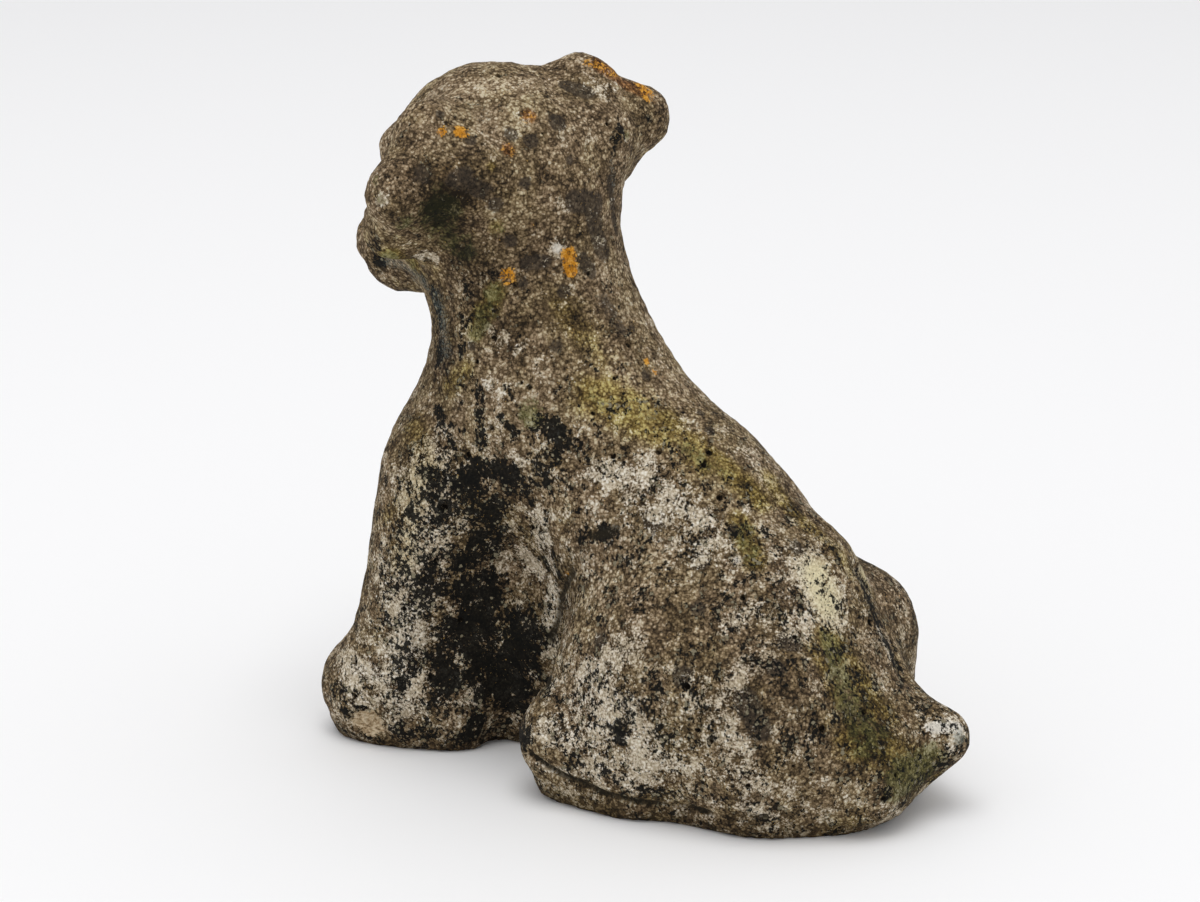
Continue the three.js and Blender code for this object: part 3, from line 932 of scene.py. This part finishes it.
# %% Stains under the growths
greyed = g.mix(1.0, colour, paint(232, 238, 200), "MULTIPLY")
colour = g.mix(g.step(g.noise(film_place, 17, 3.0, 0.5), 0.42, 0.6, 0.0, 0.25), colour, greyed)
olive = g.mix(1.0, colour, paint(232, 228, 160), "MULTIPLY")
greening = g.step(total(g.amount("green"), swing(middle, 0, 1), swing(fine, 0.5, 0.5)), 0.72, 1.3)
colour = g.mix(g.math("MULTIPLY", greening, 0.9), colour, olive)
rusty = g.mix(0.75, colour, paint(150, 104, 44), "OVERLAY")
colour = g.mix(g.step(g.math("ADD", g.amount("rust"), fine), 0.9, 1.4), colour, rusty)
blotch = g.step(total(g.amount("blotch"), swing(middle, 0.5, 0.9), swing(fine, 0.5, 1.1)), 0.4, 0.64)
blotch_tone = g.ramp(total(swing(sand, 0.5, 0.2), fine), (0.25, paint(28, 24, 20)), (0.8, paint(78, 68, 57)))
colour = g.mix(g.math("MULTIPLY", blotch, 0.8), colour, blotch_tone)
moss_and_shade = g.step(total(g.amount("moss_and_shade"), swing(middle, 0.5, 1.3), swing(fine, 0.5, 1.1)), 0.42, 0.66)
moss_tone = g.ramp(
    total(swing(sand, 0.5, 0.25), fine, swing(patch, 0.5, 0.6), g.amount("tone")),
    (0.24, paint(34, 36, 20)),
    (0.45, paint(78, 78, 44)),
    (0.62, paint(118, 116, 72)),
    (0.84, paint(162, 160, 112)),
)

print("nodes with the stains", len(g.tree.nodes))

# %% [markdown]
# ## Pale crust
#
# Crusted lichen is chalky, thickest in the middle of a patch and torn into crumbs at its edge. Its number plus three
# sizes of noise passes a narrow step, so the same rule makes whole patches, holes and lone crumbs. Where algae grow
# in it, it is yellow, and moss lies over it.

# %% Crust and moss
crust_edge = total(swing(fine, 0.5, 1.7), swing(middle, 0.5, 1.4), swing(patch, 0.5, 1.0), swing(sand, 0.5, 0.1))
pale = g.step(g.math("ADD", g.amount("pale"), crust_edge), 0.48, 0.54)
pale_tone = g.ramp(
    total(swing(sand, 0.5, 0.22), fine, swing(sand_edge, 0.4, -0.3), swing(g.amount("tone"), 0, 0.8)),
    (0.26, paint(126, 111, 87)),
    (0.44, paint(184, 169, 143)),
    (0.58, paint(216, 204, 182)),
    (0.74, paint(242, 237, 226)),
)
white = g.step(total(g.amount("pale"), swing(fine, 0.5, 0.6)), 0.62, 0.9)
pale_tone = g.mix(g.math("MULTIPLY", white, 0.65), pale_tone, paint(241, 237, 227))
yellowed = g.mix(1.0, pale_tone, paint(240, 230, 176), "MULTIPLY")
pale_tone = g.mix(g.step(g.amount("green"), 0.35, 1.0), pale_tone, yellowed)
colour = g.mix(g.math("MULTIPLY", pale, 0.9), colour, pale_tone)
# moss also lies in sheltered hollows and under the ear, where it is partly painted shade
colour = g.mix(g.math("MULTIPLY", moss_and_shade, 0.72), colour, moss_tone)

print("nodes with the crust", len(g.tree.nodes))

# %% [markdown]
# ## Black film, partly painted shade in hollows
#
# The film is a thin skin that dries black in sheltered places and low down. In the recess behind the front leg and
# under the ears its black is partly painted shade. It is a web: where it is thin, crumbs of cream stone show through.
# Those are the specks, cells whose size grows as the film's number falls.

# %% Film and its specks
film_fine = g.noise(film_place, 1.5, 4.0, 0.7)
film_middle = g.noise(film_place, 6.5, 5.0, 0.65)
film_edge = total(swing(film_fine, 0.5, 2.1), swing(film_middle, 0.5, 1.7), swing(patch, 0.5, -0.5))
film_edge = total(film_edge, swing(grit, 0.5, 0.14))
film_and_shade = g.step(g.math("ADD", g.amount("film_and_shade"), film_edge), 0.47, 0.53)
film_tone = g.ramp(fine, (0.3, paint(5, 5, 5)), (0.55, paint(11, 12, 10)), (0.8, paint(36, 36, 32)))
colour = g.mix(g.math("MULTIPLY", film_and_shade, 0.97), colour, film_tone)
specks, speck_edge = cells(2.3)
speck_size = total(swing(specks, 0.5, 0.75), swing(g.amount("film_and_shade"), 0.66, -0.7), swing(fine, 0.5, 0.8))
speck = g.math("LESS_THAN", speck_edge, speck_size)
colour = g.mix(g.math("MULTIPLY", speck, g.math("MULTIPLY", film_and_shade, 0.8)), colour, paint(142, 134, 110))

print("nodes with the film", len(g.tree.nodes))

# %% [markdown]
# ## Bloom, orange lichen, dirt and painted shade in folds
#
# Orange rosettes are small, thick and bright, so they have their own crumbly cells and a hard edge. A bluish bloom
# dulls the throat and the tip of the tail. Rain splashes dirt on the foot, and the narrow folds are painted dark as
# shade.

# %% The small growths, the dirt and the painted shade in folds
blue = g.step(total(g.amount("bloom"), swing(fine, 0.5, 2.2)), 0.5, 0.95)
colour = g.mix(g.math("MULTIPLY", blue, 0.5), colour, paint(128, 138, 132))
crumbs = cells(1.7)[0]
orange = g.step(total(g.amount("orange"), swing(fine, 0.5, 2.0), swing(crumbs, 0.5, 0.45)), 0.48, 0.54)
orange_tone = g.ramp(
    total(swing(crumbs, 0.5, 0.4), g.noise(place, 0.9, 3.0, 0.7)),
    (0.2, paint(112, 74, 22)),
    (0.42, paint(176, 114, 26)),
    (0.6, paint(208, 142, 38)),
    (0.85, paint(228, 180, 92)),
)
colour = g.mix(g.math("MULTIPLY", orange, 0.94), colour, orange_tone)
dirt = g.mix(1.0, colour, paint(150, 138, 118), "MULTIPLY")
colour = g.mix(g.math("MULTIPLY", g.amount("foot"), 0.75), colour, dirt)
# the narrow grooves (lids, nostrils, mouth, the fold along the foot) are painted near black as shade
crease_shade_mask = g.step(total(g.amount("shade_in_creases"), swing(fine, 0.5, 1.2)), 0.25, 0.8, 0.0, 0.85)
colour = g.mix(crease_shade_mask, colour, paint(38, 33, 23))

print("nodes with the lichen", len(g.tree.nodes))

# %% [markdown]
# ## The break and the pits
#
# The broken paw shows the clean cream mix in thin layers, so its noise is squeezed along one direction. A pit's
# inside is painted dark, as shade. Besides the pressed pits there are pinholes, too small for the mesh, which the
# material draws as dents painted dark as shade.

# %% Clean mix, and pits and pinholes painted dark as shade
layers = g.node("Mapping", {0: place, "Rotation": (0.5, 0.5, 0.0), "Scale": (1.0, 1.0, 2.2)}).outputs[0]
chip_tone = g.ramp(
    g.noise(layers, 2.6, 5.0, 0.7),
    (0.36, paint(84, 66, 44)),
    (0.45, paint(176, 150, 114)),
    (0.62, paint(230, 213, 182)),
)
chipped = total(g.amount("fresh"), swing(middle, 0.5, 1.3), swing(fine, 0.5, 1.0))
colour = g.mix(g.step(chipped, 0.48, 0.56, 0, 0.95), colour, chip_tone)
# pit insides are painted near black, as shade
colour = g.mix(g.step(g.amount("pit_shade"), 0.3, 0.95, 0.0, 0.8), colour, paint(26, 21, 15))
tiny = g.node("TexVoronoi", {"Vector": place, "Scale": 1 / 4.5, "Randomness": 1.0})
tiny_size = g.node("SeparateColor", {0: tiny.outputs["Color"]}).outputs[1]
tiny_pit = g.math("LESS_THAN", tiny.outputs["Distance"], g.math("MULTIPLY_ADD", tiny_size, 0.3, -0.18))
# pinholes are painted near black, as the shade inside them
colour = g.mix(g.math("MULTIPLY", tiny_pit, 0.75), colour, paint(30, 24, 17))

print("nodes with the pits", len(g.tree.nodes))

# %% [markdown]
# ## Relief and finish
#
# The same patterns that colour the grains also lift them, through a Bump node, so light and colour agree. Film fills
# the gaps, and halves the relief. Dry weathered stone has hardly any gloss: it is rough all over, with a weak shine.

# %% Bump, roughness and the piece
relief = total(swing(sand, 0, 0.35), swing(sand_edge, 0, -0.3), swing(fine, 0, 0.9), swing(middle, 0, 0.7))
relief = total(relief, swing(tiny_pit, 0, -0.8), swing(pale, 0, 0.12))
depth = g.math("MULTIPLY_ADD", film_and_shade, -0.5, 1.0)
bump = g.node("Bump", {"Strength": 0.8, "Distance": 0.9 * MM, "Height": g.math("MULTIPLY", relief, depth)})
finish = g.node("BsdfPrincipled", {"Base Color": colour, "Roughness": 0.95, "Normal": bump.outputs[0]})
finish.inputs["Specular IOR Level"].default_value = 0.16
g.node("OutputMaterial", {"Surface": finish.outputs[0]})
puppy.data.materials.clear()
puppy.data.materials.append(g.material)
for polygon in puppy.data.polygons:
    polygon.use_smooth = True
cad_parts["dog_figure"].data.materials.clear()
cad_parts["dog_figure"].data.materials.append(g.material)

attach(puppy, "root")
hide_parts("dog_figure")
print("triangles", sum(len(p.vertices) - 2 for p in puppy.data.polygons))

# %% [markdown]
# ## Floor and light
#
# A pale floor that runs out of sight, an even bright surround, and one large soft lamp overhead, a little on the
# camera's side, as in a product studio. The lamp is high, so that it lights the whole floor evenly and leaves a soft
# shadow. The floor is stage, so it is no part of the object.

# %% Floor
FLOOR_RADIUS = 9
FLOOR_PAINT = (0.92, 0.92, 0.92, 1)
bm = bmesh.new()
bmesh.ops.create_circle(bm, cap_ends=True, segments=96, radius=FLOOR_RADIUS)
floor = bpy.data.objects.new("floor", bpy.data.meshes.new("floor"))
bm.to_mesh(floor.data)
bm.free()
bpy.context.scene.collection.objects.link(floor)
f = Graph("pale_floor")
floor_finish = f.node("BsdfPrincipled", {"Base Color": FLOOR_PAINT, "Roughness": 0.7})
f.node("OutputMaterial", {"Surface": floor_finish.outputs[0]})
floor.data.materials.append(f.material)
print("floor", 2 * FLOOR_RADIUS, "m across")

# %% Light
SURROUND_COLOUR, SURROUND_STRENGTH = (0.985, 0.985, 1.0, 1), 0.75
world = bpy.data.worlds.new("surround")
world.use_nodes = True
world.node_tree.nodes["Background"].inputs[0].default_value = SURROUND_COLOUR
world.node_tree.nodes["Background"].inputs[1].default_value = SURROUND_STRENGTH
bpy.context.scene.world = world


def lamp(name, place, size, watts):
    """A square soft lamp that points at the puppy."""
    light = bpy.data.objects.new(name, bpy.data.lights.new(name, "AREA"))
    light.data.size = size
    light.data.energy = watts
    light.location = place
    light.rotation_euler = (AIM - light.location).to_track_quat("-Z", "Y").to_euler()
    bpy.context.scene.collection.objects.link(light)


lamp("softbox_above", Vector((1.0, 0.3, 4.5)), 3, 84)
bpy.context.scene.view_settings.view_transform = "Standard"
